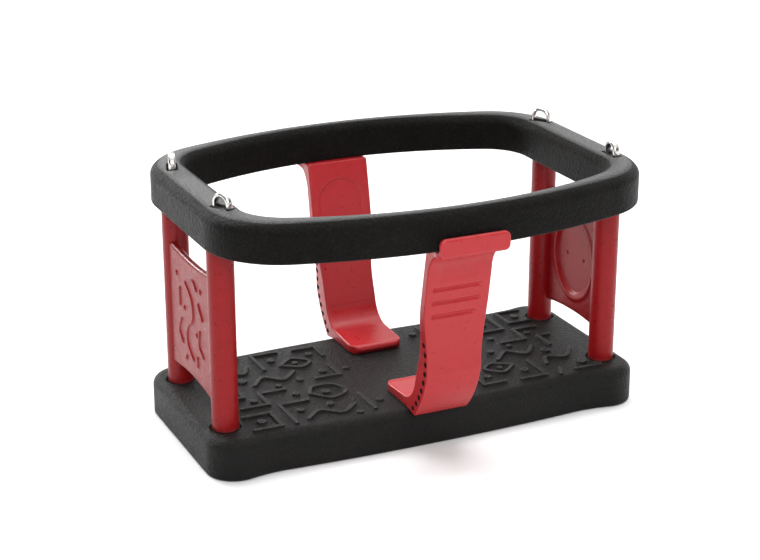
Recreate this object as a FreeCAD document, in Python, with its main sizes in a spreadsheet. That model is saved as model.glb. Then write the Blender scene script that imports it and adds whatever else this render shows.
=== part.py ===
"""Cradle swing seat: a rubber base and a rubber top ring joined by four tie bolts inside two end panels.

Frame: +X along the seat, -Y towards the front, +Z up. The origin is on the underside of the base,
below the middle of the seat. Millimetres.
"""
import FreeCAD, Part
import Sketcher
import math
import os

SIZES = (
    # rubber base
    ("base_length", 440.0),
    ("base_width", 200.6),
    ("base_height", 38.0),
    ("base_corner", 28.0),
    ("base_bulge", 2200.0),
    ("base_top_edge", 9.0),
    ("base_foot_edge", 2.5),
    ("waist_inset", 63.0),
    ("waist_radius", 127.0),
    # plate moulded into the base
    ("base_plate_margin", 13.0),
    ("base_plate_level", 12.0),
    ("base_plate_thickness", 4.0),
    ("insert_gap", 0.2),
    # rubber top ring
    ("ring_level", 211.0),
    ("ring_height", 36.0),
    ("ring_setback", 6.5),
    ("ring_width", 319.0),
    ("ring_corner", 74.0),
    ("ring_bulge", 560.0),
    ("rail_end", 35.5),
    ("rail_side", 20.5),
    ("mouth_corner", 42.0),
    ("mouth_bulge", 385.0),
    ("ring_top_edge", 8.5),
    ("ring_foot_edge", 1.2),
    # plate moulded into the ring
    ("ring_plate_margin", 5.5),
    ("ring_plate_level", 16.0),
    ("ring_plate_thickness", 5.0),
    # end panels
    ("post_inset", 23.5),
    ("post_y", 60.6),
    ("post_diameter", 24.5),
    ("post_seat_depth", 1.0),
    ("fit_gap", 0.3),
    ("web_face", 9.0),
    ("web_thickness", 7.4),
    ("web_foot", 20.0),
    ("web_arch", 6.0),
    ("web_head", 29.0),
    ("web_sag", 4.5),
    ("bead_height", 4.5),
    ("bead_thickness", 8.4),
    ("oval_half_width", 33.0),
    ("oval_half_height", 39.0),
    ("oval_rise", 65.0),
    ("oval_depth", 3.0),
    # tie bolts, their sleeves, washers and the bosses on the ring plate
    ("sleeve_diameter", 16.0),
    ("bolt_diameter", 10.0),
    ("bolt_play", 0.6),
    ("thread_gap", 0.1),
    ("bolt_head_across", 16.0),
    ("bolt_head_height", 6.4),
    ("bolt_tip_setback", 1.0),
    ("washer_diameter", 20.0),
    ("washer_thickness", 2.0),
    ("head_room", 3.0),
    ("boss_diameter", 18.0),
    ("boss_height", 9.0),
    # chain eyelets
    ("eyelet_inset", 1.5),
    ("eyelet_y", 67.0),
    ("eyelet_yaw_front_left", 25.0),
    ("eyelet_yaw_front_right", 3.0),
    ("eyelet_yaw_back_left", 17.0),
    ("eyelet_yaw_back_right", 34.0),
    ("eyelet_radius", 7.0),
    ("eyelet_leg_above", 3.0),
    ("eyelet_band", 6.6),
    ("eyelet_depth", 3.3),
    ("eyelet_round", 2.3),
    ("eyelet_dimple", 3.0),
    # leg straps
    ("strap_half_width", 32.0),
    ("strap_waist_half_width", 27.5),
    ("strap_lip_half_width", 34.5),
    ("strap_head_inset", 6.5),
    ("strap_top_thickness", 7.0),
    ("strap_heel_inset", 29.6),
    ("strap_heel_height", 45.0),
    ("strap_toe_reach", 43.5),
    ("strap_lip_thickness", 5.0),
    ("strap_lip_height", 12.5),
    ("strap_flange_thickness", 6.5),
    ("strap_core_diameter", 4.6),
    ("strap_core_count", 9),
    # strap screws
    ("strap_screw_x", 16.0),
    ("strap_foot_screw_y", 78.0),
    ("strap_screw_diameter", 6.0),
    ("strap_screw_play", 0.6),
    ("strap_screw_head_diameter", 11.0),
    ("strap_screw_head_height", 3.4),
    ("strap_washer_diameter", 14.0),
    ("strap_washer_thickness", 1.2),
    ("strap_insert_diameter", 9.0),
    ("strap_insert_height", 7.0),
    ("strap_nut_diameter", 10.0),
    ("strap_nut_height", 6.0),
)

SIDES = {"left": -1, "right": 1}
ENDS = {"front": -1, "back": 1}
CORNERS = [(end + "_" + side, SIDES[side], ENDS[end]) for end in ENDS for side in SIDES]

doc = FreeCAD.newDocument("cradle_swing_seat")
sheet = doc.addObject("Spreadsheet::Sheet", "sizes")
nodes = []


def fill_sheet():
    for row, (alias, value) in enumerate(SIZES, 1):
        sheet.set(f"A{row}", alias)
        sheet.set(f"B{row}", str(value))
        sheet.setAlias(f"B{row}", alias)
    doc.recompute()


def named(text):
    """An expression on the sheet: every name in the text that is a size gets the sheet's prefix."""
    words = {alias for alias, _ in SIZES}
    return " ".join("sizes." + word if word in words else word for word in text.split())


def size(text):
    """The value of a size, or of an expression of sizes written with spaces between its words."""
    return float(sheet.evalExpression(named(text)))


# Heights that several pieces share, as expressions of the sizes.
PLATE_TOP = "base_plate_level + base_plate_thickness"
RING_PLATE_FOOT = "ring_level + ring_plate_level"
RING_PLATE_TOP = RING_PLATE_FOOT + " + ring_plate_thickness"
RING_TOP = "ring_level + ring_height"
BOSS_FOOT = RING_PLATE_FOOT + " - boss_height"
POST_FOOT = "base_height - post_seat_depth"
POST_X = "( base_length / 2 - post_inset )"
WAIST_X = "( base_length / 2 - waist_inset )"
RING_HALF_LENGTH = "base_length / 2 - ring_setback"
RAIL_MIDDLE = "( ring_width / 2 - rail_side / 2 )"
SLEEVE_BORE = "bolt_diameter + bolt_play"


def keep(thing, label):
    thing.Label = label
    nodes.append(thing)
    return thing


def place(thing, x=None, y=None, z=None, turn=None):
    for axis, text in (("x", x), ("y", y), ("z", z)):
        if text is not None:
            thing.setExpression(f"Placement.Base.{axis}", named(text))
    if turn is not None:
        thing.Placement.Rotation = FreeCAD.Rotation(FreeCAD.Vector(0, 0, 1), 1)
        thing.setExpression("Placement.Rotation.Angle", named(turn))


def signed(sign, text):
    return ("- " if sign < 0 else "") + text


# ---------------------------------------------------------------- sketches and PartDesign features

def add_body(label):
    return doc.addObject("PartDesign::Body", label)


def add_sketch(body, name, role="XY_Plane", level=None):
    sketch = body.newObject("Sketcher::SketchObject", name)
    plane = next(item for item in body.Origin.OriginFeatures if item.Role == role)
    sketch.AttachmentSupport = [(plane, "")]
    sketch.MapMode = "FlatFace"
    if level is not None:
        sketch.setExpression("AttachmentOffset.Base.z", named(level))
    return sketch


def bind(sketch, kind, *refs, to):
    """A dimension of the sketch that follows an expression of the sizes."""
    index = sketch.addConstraint(Sketcher.Constraint(kind, *refs, size(to)))
    sketch.setExpression(f"Constraints[{index}]", named(to))


def add_circle(sketch, x, y, diameter):
    """A circle whose centre and diameter are expressions; the centre may lie at either sign."""
    centre = FreeCAD.Vector(size(x), size(y), 0)
    index = sketch.addGeometry(Part.Circle(centre, FreeCAD.Vector(0, 0, 1), size(diameter) / 2))
    bind(sketch, "Diameter", index, to=diameter)
    bind(sketch, "DistanceX", -1, 1, index, 3, to=x)
    bind(sketch, "DistanceY", -1, 1, index, 3, to=y)


def arc(x, y, radius, start, end):
    circle = Part.Circle(FreeCAD.Vector(x, y, 0), FreeCAD.Vector(0, 0, 1), radius)
    return Part.ArcOfCircle(circle, start, end)


def add_loop(sketch, half_x, half_y, corner, bulge):
    """A closed loop with straight short sides, round corners and long sides that bulge on a large arc."""
    x, y, r, big = size(half_x), size(half_y), size(corner), size(bulge)
    corner_y = y - big + math.sqrt((big - r) ** 2 - (x - r) ** 2)
    turn = math.atan2(corner_y - y + big, x - r)
    pi = math.pi
    first = sketch.GeometryCount
    sketch.addGeometry([
        Part.LineSegment(FreeCAD.Vector(x, -corner_y, 0), FreeCAD.Vector(x, corner_y, 0)),
        arc(x - r, corner_y, r, 0, turn),
        arc(0, y - big, big, turn, pi - turn),
        arc(r - x, corner_y, r, pi - turn, pi),
        Part.LineSegment(FreeCAD.Vector(-x, corner_y, 0), FreeCAD.Vector(-x, -corner_y, 0)),
        arc(r - x, -corner_y, r, pi, pi + turn),
        arc(0, big - y, big, pi + turn, 2 * pi - turn),
        arc(x - r, -corner_y, r, 2 * pi - turn, 2 * pi),
    ], False)
    for i in range(8):
        sketch.addConstraint(Sketcher.Constraint("Tangent", first + i, 2, first + (i + 1) % 8, 1))
    for i in (0, 4):
        sketch.addConstraint(Sketcher.Constraint("Vertical", first + i))
    for i in (3, 5, 7):
        sketch.addConstraint(Sketcher.Constraint("Equal", first + 1, first + i))
    sketch.addConstraint(Sketcher.Constraint("Equal", first + 2, first + 6))
    for i in (2, 6):
        sketch.addConstraint(Sketcher.Constraint("PointOnObject", first + i, 3, -2))
    bind(sketch, "Radius", first + 1, to=corner)
    bind(sketch, "Radius", first + 2, to=bulge)
    bind(sketch, "DistanceX", -1, 1, first, 1, to=half_x)
    bind(sketch, "DistanceX", first + 4, 1, -1, 1, to=half_x)
    bind(sketch, "DistanceY", first + 2, 3, -1, 1, to=f"{bulge} - ( {half_y} )")
    bind(sketch, "DistanceY", -1, 1, first + 6, 3, to=f"{bulge} - ( {half_y} )")


def extrude(body, kind, sketch, length, midplane=False, reverse=False):
    """A Pad or a Pocket of a sketch; a Pocket goes down from its sketch unless it is reversed."""
    feature = body.newObject("PartDesign::" + kind, kind)
    feature.Profile = sketch
    feature.Midplane = midplane
    feature.Reversed = reverse
    feature.setExpression("Length", named(length))
    sketch.Visibility = False
    before = body_volume(body)
    doc.recompute()
    check_volume(body, kind, before)
    return feature


def body_volume(body):
    solids = [item for item in body.Group if item.isDerivedFrom("PartDesign::Feature") and item.Shape.Solids]
    return solids[-1].Shape.Volume if solids else 0.0


def check_volume(body, kind, before):
    change = body.Tip.Shape.Volume - before
    if (kind == "Pad") != (change > 0) or abs(change) < 0.01:
        raise RuntimeError(f"{body.Label}: a {kind} changed the volume by {change:.3f}")


def dress(body, kind, wanted, radius):
    """A Fillet or a Chamfer on the edges of the tip that the test picks."""
    tip = body.Tip
    picked = [f"Edge{i}" for i, edge in enumerate(tip.Shape.Edges, 1) if wanted(edge)]
    feature = body.newObject("PartDesign::" + kind, kind)
    feature.Base = (tip, picked)
    feature.setExpression("Radius" if kind == "Fillet" else "Size", named(radius))
    doc.recompute()
    return feature


def lies_at(level):
    """Picks the edges that lie flat at a height."""
    height = size(level)
    return lambda edge: max(abs(edge.BoundBox.ZMin - height), abs(edge.BoundBox.ZMax - height)) < 0.01


# ---------------------------------------------------------------- round pieces from Part primitives

def add_cylinder(name, diameter, height, x, y, z):
    item = doc.addObject("Part::Cylinder", name)
    item.setExpression("Radius", named(f"( {diameter} ) / 2"))
    item.setExpression("Height", named(height))
    place(item, x, y, z)
    return item


def add_tube(name, outer, inner, height, x, y, z):
    tube = doc.addObject("Part::Cut", name)
    tube.Base = add_cylinder(name + "_outside", outer, height, x, y, z)
    tube.Tool = add_cylinder(name + "_bore", inner, height, x, y, z)
    return tube


def add_screw(name, diameter, length, head_diameter, head_height, x, y, z):
    """A round-headed screw, head down: its bearing face is at z and its shank rises from there."""
    screw = doc.addObject("Part::Fuse", name)
    screw.Base = add_cylinder(name + "_shank", diameter, length, x, y, z)
    screw.Tool = add_cylinder(name + "_head", head_diameter, head_height, x, y, f"{z} - {head_height}")
    return screw


def group(label, items):
    compound = doc.addObject("Part::Compound", label)
    compound.Links = items
    return keep(compound, label)


# ---------------------------------------------------------------- the base

def strap_foot_places():
    return [(signed(i, "strap_screw_x"), signed(j, "strap_foot_screw_y")) for i in (-1, 1) for j in (-1, 1)]


def strap_head_places():
    return [(signed(i, "strap_screw_x"), signed(j, RAIL_MIDDLE)) for i in (-1, 1) for j in (-1, 1)]


def post_places():
    return [(signed(i, POST_X), signed(j, "post_y")) for _, i, j in CORNERS]


def drill(body, name, top, depth, diameter, places):
    """Round pockets that go down from a height."""
    sketch = add_sketch(body, name, level=top)
    for x, y in places:
        add_circle(sketch, x, y, diameter)
    extrude(body, "Pocket", sketch, depth)


def add_waisted_loop(sketch):
    """The base's outline: long sides that bulge, a shallow waist near each end, and rounded end lobes."""
    x, y, r = size("base_length / 2"), size("base_width / 2"), size("base_corner")
    big, hollow, place_x = size("base_bulge"), size("waist_radius"), size(WAIST_X)
    hollow_y = y - big + math.sqrt((big + hollow) ** 2 - place_x ** 2)
    corner_y = hollow_y - math.sqrt((r + hollow) ** 2 - (x - r - place_x) ** 2)
    turn = math.atan2(hollow_y - corner_y, place_x - x + r)
    bend_over = math.atan2(hollow_y - y + big, place_x)
    pi = math.pi
    lines, corners, hollows, sides = (0, 6), (1, 5, 7, 11), (2, 4, 8, 10), (3, 9)
    sketch.addGeometry([
        Part.LineSegment(FreeCAD.Vector(x, -corner_y, 0), FreeCAD.Vector(x, corner_y, 0)),
        arc(x - r, corner_y, r, 0, turn),
        arc(place_x, hollow_y, hollow, pi + bend_over, pi + turn),
        arc(0, y - big, big, bend_over, pi - bend_over),
        arc(-place_x, hollow_y, hollow, 2 * pi - turn, 2 * pi - bend_over),
        arc(r - x, corner_y, r, pi - turn, pi),
        Part.LineSegment(FreeCAD.Vector(-x, corner_y, 0), FreeCAD.Vector(-x, -corner_y, 0)),
        arc(r - x, -corner_y, r, pi, pi + turn),
        arc(-place_x, -hollow_y, hollow, bend_over, turn),
        arc(0, big - y, big, pi + bend_over, 2 * pi - bend_over),
        arc(place_x, -hollow_y, hollow, pi - turn, pi - bend_over),
        arc(x - r, -corner_y, r, 2 * pi - turn, 2 * pi),
    ], False)
    for i in range(12):
        after = (i + 1) % 12
        leaving, entering = (1 if i in hollows else 2), (2 if after in hollows else 1)
        sketch.addConstraint(Sketcher.Constraint("Tangent", i, leaving, after, entering))
    for i in lines:
        sketch.addConstraint(Sketcher.Constraint("Vertical", i))
    for alike in (corners, hollows, sides):
        for i in alike[1:]:
            sketch.addConstraint(Sketcher.Constraint("Equal", alike[0], i))
    for i in sides:
        sketch.addConstraint(Sketcher.Constraint("PointOnObject", i, 3, -2))
    bind(sketch, "Radius", corners[0], to="base_corner")
    bind(sketch, "Radius", hollows[0], to="waist_radius")
    bind(sketch, "Radius", sides[0], to="base_bulge")
    bind(sketch, "DistanceX", -1, 1, lines[0], 1, to="base_length / 2")
    bind(sketch, "DistanceX", lines[1], 1, -1, 1, to="base_length / 2")
    bind(sketch, "DistanceY", sides[0], 3, -1, 1, to="base_bulge - base_width / 2")
    bind(sketch, "DistanceY", -1, 1, sides[1], 3, to="base_bulge - base_width / 2")
    for i, sign in zip(hollows, (1, -1, -1, 1)):
        bind(sketch, "DistanceX", -1, 1, i, 3, to=signed(sign, WAIST_X))


def build_base_rubber():
    body = add_body("base_seat_rubber")
    outline = add_sketch(body, "base_outline")
    add_waisted_loop(outline)
    extrude(body, "Pad", outline, "base_height")

    dress(body, "Fillet", lies_at("base_height"), "base_top_edge")
    dress(body, "Fillet", lies_at("0 * base_height"), "base_foot_edge")

    cavity = add_sketch(body, "base_cavity", level=PLATE_TOP)
    add_base_plate_loop(cavity, "+ insert_gap")
    extrude(body, "Pocket", cavity, "base_plate_thickness")

    drill(body, "post_seats", "base_height", "post_seat_depth", "post_diameter + 2 * fit_gap", post_places())
    drill(body, "sleeve_holes", "base_height", f"base_height - ( {PLATE_TOP} )",
          "sleeve_diameter + 2 * fit_gap", post_places())
    drill(body, "head_pockets", "base_plate_level", "base_plate_level",
          "washer_diameter + 2 * head_room", post_places())
    drill(body, "strap_screw_holes", "base_height", f"base_height - ( {PLATE_TOP} )",
          "strap_screw_diameter + strap_screw_play", strap_foot_places())
    drill(body, "strap_head_pockets", "base_plate_level", "base_plate_level",
          "strap_washer_diameter + head_room", strap_foot_places())
    keep(body, "base_seat_rubber")


def add_base_plate_loop(sketch, more):
    add_loop(sketch, f"base_length / 2 - base_plate_margin {more}", f"base_width / 2 - base_plate_margin {more}",
             f"base_corner - base_plate_margin {more}", f"base_bulge - base_plate_margin {more}")


def build_base_plate():
    body = add_body("base_insert_plate")
    outline = add_sketch(body, "plate_outline", level="base_plate_level")
    add_base_plate_loop(outline, "")
    for x, y in post_places():
        add_circle(outline, x, y, SLEEVE_BORE)
    for x, y in strap_foot_places():
        add_circle(outline, x, y, "strap_screw_diameter + strap_screw_play")
    extrude(body, "Pad", outline, "base_plate_thickness")
    keep(body, "base_insert_plate")


# ---------------------------------------------------------------- the top ring

def add_ring_loops(sketch, inwards):
    """The ring's outer loop and its mouth, both moved into the rubber by the same amount."""
    add_loop(sketch, f"{RING_HALF_LENGTH} - {inwards}", f"ring_width / 2 - {inwards}",
             f"ring_corner - {inwards}", f"ring_bulge - {inwards}")
    add_loop(sketch, f"{RING_HALF_LENGTH} - rail_end + {inwards}", f"ring_width / 2 - rail_side + {inwards}",
             f"mouth_corner + {inwards}", f"mouth_bulge + {inwards}")


def build_ring_rubber():
    body = add_body("top_ring_solid")
    outline = add_sketch(body, "ring_outline", level="ring_level")
    add_ring_loops(outline, "0")
    extrude(body, "Pad", outline, "ring_height")
    dress(body, "Fillet", lies_at(RING_TOP), "ring_top_edge")
    dress(body, "Chamfer", lies_at("ring_level"), "ring_foot_edge")

    cavity = add_sketch(body, "ring_cavity", level=RING_PLATE_TOP)
    add_ring_loops(cavity, "( ring_plate_margin - insert_gap )")
    extrude(body, "Pocket", cavity, "ring_plate_thickness")

    drill(body, "boss_pockets", RING_PLATE_FOOT, "boss_height", "boss_diameter + 2 * insert_gap", post_places())
    drill(body, "ring_sleeve_holes", BOSS_FOOT, f"{BOSS_FOOT} - ring_level",
          "sleeve_diameter + 2 * fit_gap", post_places())
    drill(body, "strap_nut_pockets", RING_PLATE_FOOT, "strap_nut_height",
          "strap_nut_diameter + 2 * insert_gap", strap_head_places())
    drill(body, "strap_head_holes", f"{RING_PLATE_FOOT} - strap_nut_height", "ring_plate_level - strap_nut_height",
          "strap_screw_diameter + strap_screw_play", strap_head_places())
    slotted = doc.addObject("Part::Cut", "top_ring_slotted")
    slotted.Base = body
    slotted.Tool = eyelet_slots()
    keep(slotted, "top_ring_rubber")


def eyelet_slots():
    """The room that the legs of the four eyelets take in the rubber, and a dimple between each pair."""
    tools = []
    for corner, i, j in CORNERS:
        slots = doc.addObject("Part::MultiFuse", "eyelet_slots_" + corner)
        slots.Shapes = [leg_slot(corner, -1), leg_slot(corner, 1), dimple(corner)]
        turn_to_corner(slots, corner, i, j, RING_PLATE_TOP)
        tools.append(slots)
    every = doc.addObject("Part::Compound", "all_eyelet_slots")
    every.Links = tools
    return every


def leg_slot(corner, side):
    slot = doc.addObject("Part::Box", "leg_slot_" + corner)
    slot.setExpression("Length", named("eyelet_depth + 2 * fit_gap"))
    slot.setExpression("Width", named("eyelet_band + 2 * fit_gap"))
    slot.setExpression("Height", named("ring_height - ring_plate_level"))
    near = "eyelet_radius - fit_gap" if side > 0 else "- eyelet_radius - eyelet_depth - fit_gap"
    place(slot, near, "- eyelet_band / 2 - fit_gap", None)
    return slot


def dimple(corner):
    item = doc.addObject("Part::Box", "dimple_" + corner)
    item.setExpression("Length", named("2 * eyelet_radius"))
    item.setExpression("Width", named("eyelet_band"))
    item.setExpression("Height", named("2 * eyelet_dimple"))
    place(item, "- eyelet_radius", "- eyelet_band / 2", f"{RING_TOP} - ( {RING_PLATE_TOP} ) - eyelet_dimple")
    return item


def turn_to_corner(thing, corner, i, j, level):
    """Puts a piece that is made at the origin at its eyelet's place, its hole facing the seat."""
    yaw = "eyelet_yaw_" + corner
    place(thing, signed(i, f"( {POST_X} - eyelet_inset )"), signed(j, "eyelet_y"), level,
          (f"{yaw} - 90" if i * j > 0 else f"90 - {yaw}"))


def build_ring_plate():
    body = add_body("top_ring_insert")
    outline = add_sketch(body, "ring_plate_outline", level=RING_PLATE_FOOT)
    add_ring_loops(outline, "ring_plate_margin")
    for x, y in post_places():
        add_circle(outline, x, y, SLEEVE_BORE)
    extrude(body, "Pad", outline, "ring_plate_thickness")
    keep(body, "top_ring_insert")


def build_eyelets():
    for corner, i, j in CORNERS:
        body = add_body("chain_eyelet_" + corner)
        springing = "eyelet_leg_above + ring_height - ring_plate_level - ring_plate_thickness"
        arch = add_sketch(body, "arch_section", level=springing)
        add_band_section(arch, 1)
        sweep = body.newObject("PartDesign::Revolution", "Arch")
        sweep.Profile = arch
        sweep.ReferenceAxis = (arch, ["V_Axis"])
        sweep.Angle = 180
        doc.recompute()
        if sweep.Shape.BoundBox.ZMin < size(springing) - 1:
            sweep.Reversed = True
            doc.recompute()
        legs = add_sketch(body, "leg_sections", level=springing)
        add_band_section(legs, 1)
        add_band_section(legs, -1)
        extrude(body, "Pad", legs, springing, reverse=True)
        turn_to_corner(body, corner, i, j, RING_PLATE_TOP)
        keep(body, "chain_eyelet_" + corner)


def add_band_section(sketch, side):
    """The eyelet's section: flat towards its hole, and rounded off at both outer corners."""
    inner, outer = f"{side} * eyelet_radius", f"{side} * ( eyelet_radius + eyelet_depth )"
    near, far, half, r = side * size("eyelet_radius"), size(outer), size("eyelet_band / 2"), size("eyelet_round")
    middle = far - side * r
    pi = math.pi
    foot_turn, head_turn = ((1.5 * pi, 2 * pi), (0, pi / 2)) if side > 0 else ((pi, 1.5 * pi), (pi / 2, pi))
    low, high = (1, 2) if side > 0 else (2, 1)
    first = sketch.GeometryCount
    sketch.addGeometry([
        Part.LineSegment(FreeCAD.Vector(near, -half, 0), FreeCAD.Vector(middle, -half, 0)),
        arc(middle, r - half, r, *foot_turn),
        Part.LineSegment(FreeCAD.Vector(far, r - half, 0), FreeCAD.Vector(far, half - r, 0)),
        arc(middle, half - r, r, *head_turn),
        Part.LineSegment(FreeCAD.Vector(middle, half, 0), FreeCAD.Vector(near, half, 0)),
        Part.LineSegment(FreeCAD.Vector(near, half, 0), FreeCAD.Vector(near, -half, 0)),
    ], False)
    joints = ((0, 2, 1, low), (1, high, 2, 1), (2, 2, 3, low), (3, high, 4, 1))
    for a, a_end, b, b_end in joints:
        sketch.addConstraint(Sketcher.Constraint("Tangent", first + a, a_end, first + b, b_end))
    for a, b in ((4, 5), (5, 0)):
        sketch.addConstraint(Sketcher.Constraint("Coincident", first + a, 2, first + b, 1))
    for line in (0, 4):
        sketch.addConstraint(Sketcher.Constraint("Horizontal", first + line))
    for line in (2, 5):
        sketch.addConstraint(Sketcher.Constraint("Vertical", first + line))
    for turn in (1, 3):
        bind(sketch, "Radius", first + turn, to="eyelet_round")
    bind(sketch, "DistanceX", -1, 1, first + 5, 1, to=inner)
    bind(sketch, "DistanceX", -1, 1, first + 2, 1, to=outer)
    bind(sketch, "DistanceY", -1, 1, first, 1, to="- eyelet_band / 2")
    bind(sketch, "DistanceY", -1, 1, first + 4, 2, to="eyelet_band / 2")


def add_polygon(sketch, steps):
    """A closed loop of straight lines; every corner follows its two expressions."""
    points = [FreeCAD.Vector(size(x), size(y), 0) for x, y in steps]
    first = sketch.GeometryCount
    count = len(points)
    for i in range(count):
        sketch.addGeometry(Part.LineSegment(points[i], points[(i + 1) % count]))
    for i in range(count):
        sketch.addConstraint(Sketcher.Constraint("Coincident", first + i, 2, first + (i + 1) % count, 1))
        bind(sketch, "DistanceX", -1, 1, first + i, 1, to=steps[i][0])
        bind(sketch, "DistanceY", -1, 1, first + i, 1, to=steps[i][1])


# ---------------------------------------------------------------- the end panels

def add_bowed_panel(sketch, foot, foot_bow, head, head_bow):
    """A panel between the posts, seen along X. Its foot and its head bow up or, with a minus sign, down."""
    half = size("post_y")
    low, high = size(foot), size(head)
    right = sketch.addGeometry(Part.LineSegment(FreeCAD.Vector(half, low, 0), FreeCAD.Vector(half, high, 0)))
    left = sketch.addGeometry(Part.LineSegment(FreeCAD.Vector(-half, low, 0), FreeCAD.Vector(-half, high, 0)))
    for line in (right, left):
        sketch.addConstraint(Sketcher.Constraint("Vertical", line))
    for line_end, level, bow in ((1, low, foot_bow), (2, high, head_bow)):
        depth = bow.replace("- ", "")
        radius = f"( post_y * post_y + {depth} * {depth} ) / ( 2 * {depth} )"
        flat = size(radius) - size(depth)
        slope = math.atan2(flat, half)
        if size(bow) > 0:
            index = sketch.addGeometry(arc(0, level - flat, size(radius), slope, math.pi - slope))
            right_end, left_end = 1, 2
        else:
            index = sketch.addGeometry(arc(0, level + flat, size(radius), math.pi + slope, 2 * math.pi - slope))
            right_end, left_end = 2, 1
        sketch.addConstraint(Sketcher.Constraint("Coincident", index, right_end, right, line_end))
        sketch.addConstraint(Sketcher.Constraint("Coincident", index, left_end, left, line_end))
        sketch.addConstraint(Sketcher.Constraint("PointOnObject", index, 3, -2))
        bind(sketch, "Radius", index, to=radius)
    bind(sketch, "DistanceX", -1, 1, right, 1, to="post_y")
    bind(sketch, "DistanceX", left, 1, -1, 1, to="post_y")
    bind(sketch, "DistanceY", -1, 1, right, 1, to=foot)
    bind(sketch, "DistanceY", -1, 1, right, 2, to=head)


def add_oval(sketch, half_width, half_height, middle):
    """An upright ellipse on the sketch's vertical axis."""
    centre = FreeCAD.Vector(0, size(middle), 0)
    head = centre + FreeCAD.Vector(0, size(half_height), 0)
    side = centre + FreeCAD.Vector(-size(half_width), 0, 0)
    oval = sketch.addGeometry(Part.Ellipse(head, side, centre))
    sketch.exposeInternalGeometry(oval)
    long_axis, short_axis = oval + 1, oval + 2
    sketch.addConstraint(Sketcher.Constraint("PointOnObject", oval, 3, -2))
    sketch.addConstraint(Sketcher.Constraint("Vertical", long_axis))
    bind(sketch, "DistanceY", -1, 1, oval, 3, to=middle)
    bind(sketch, "Distance", long_axis, to=f"2 * {half_height}")
    bind(sketch, "Distance", short_axis, to=f"2 * {half_width}")


def build_panel(side, sign):
    body = add_body(side + "_side_panel")
    height = f"ring_level - ( {POST_FOOT} )"
    posts = add_sketch(body, "post_sections", level=POST_FOOT)
    for j in (-1, 1):
        add_circle(posts, "0 * post_y", signed(j, "post_y"), "post_diameter")
    extrude(body, "Pad", posts, height)

    foot = "base_height + web_foot"
    head = "ring_level - web_head"
    flip = "" if sign > 0 else "- "
    web = add_sketch(body, "web_outline", role="YZ_Plane", level=f"{flip}( web_face - web_thickness / 2 )")
    add_bowed_panel(web, foot, "web_arch", head, "- web_sag")
    extrude(body, "Pad", web, "web_thickness", midplane=True)

    bead_level = f"{flip}( web_face - bead_thickness / 2 )"
    low_bead = add_sketch(body, "low_bead", role="YZ_Plane", level=bead_level)
    add_bowed_panel(low_bead, foot, "web_arch", f"{foot} + bead_height", "web_arch")
    extrude(body, "Pad", low_bead, "bead_thickness", midplane=True)
    high_bead = add_sketch(body, "high_bead", role="YZ_Plane", level=bead_level)
    add_bowed_panel(high_bead, f"{head} - bead_height", "- web_sag", head, "- web_sag")
    extrude(body, "Pad", high_bead, "bead_thickness", midplane=True)

    inner_face = f"{flip}( web_face - web_thickness )"
    oval = add_sketch(body, "oval_hollow", role="YZ_Plane", level=inner_face)
    add_oval(oval, "oval_half_width", "oval_half_height", "base_height + web_foot + oval_rise")
    extrude(body, "Pocket", oval, "oval_depth", reverse=sign > 0)

    bores = add_sketch(body, "post_bores", level="ring_level")
    for j in (-1, 1):
        add_circle(bores, "0 * post_y", signed(j, "post_y"), "sleeve_diameter + 2 * fit_gap")
    extrude(body, "Pocket", bores, height)
    place(body, signed(sign, POST_X))
    keep(body, side + "_side_panel")


# ---------------------------------------------------------------- tie bolts and what they clamp

def build_tie_bolts():
    for corner, i, j in CORNERS:
        x, y = signed(i, POST_X), signed(j, "post_y")
        sleeve = add_tube("post_sleeve_" + corner, "sleeve_diameter", SLEEVE_BORE,
                          f"{BOSS_FOOT} - ( {PLATE_TOP} )", x, y, PLATE_TOP)
        keep(sleeve, "post_sleeve_" + corner)

        bolt = add_body("tie_bolt_" + corner)
        seat = "base_plate_level - washer_thickness"
        shank = add_sketch(bolt, "shank_section", level=seat)
        add_circle(shank, "0 * bolt_diameter", "0 * bolt_diameter", "bolt_diameter")
        extrude(bolt, "Pad", shank, f"{RING_PLATE_TOP} - bolt_tip_setback - ( {seat} )")
        head = add_sketch(bolt, "head_section", level=seat)
        add_hexagon(head, "bolt_head_across")
        extrude(bolt, "Pad", head, "bolt_head_height", reverse=True)
        place(bolt, x, y)
        keep(bolt, "tie_bolt_" + corner)

    group("tie_bolt_washers", [
        add_tube("tie_bolt_washer_" + corner, "washer_diameter", SLEEVE_BORE, "washer_thickness",
                 signed(i, POST_X), signed(j, "post_y"), "base_plate_level - washer_thickness")
        for corner, i, j in CORNERS])
    group("ring_weld_bosses", [
        add_tube("ring_boss_" + corner, "boss_diameter", "bolt_diameter + 2 * thread_gap", "boss_height",
                 signed(i, POST_X), signed(j, "post_y"), BOSS_FOOT)
        for corner, i, j in CORNERS])


def add_hexagon(sketch, across):
    steps = []
    for i in range(6):
        reach = f"{across} / 2 / cos( 30 deg )"
        steps.append((f"{reach} * cos( {60 * i} deg )", f"{reach} * sin( {60 * i} deg )"))
    add_polygon(sketch, steps)


# ---------------------------------------------------------------- the leg straps

def bend(*points):
    """The circular arc through three points of the strap's side view."""
    return Part.Arc(*[FreeCAD.Vector(0, -out, up) for out, up in points]).toShape()


def straight(*points):
    return Part.LineSegment(*[FreeCAD.Vector(0, -out, up) for out, up in points]).toShape()


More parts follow.
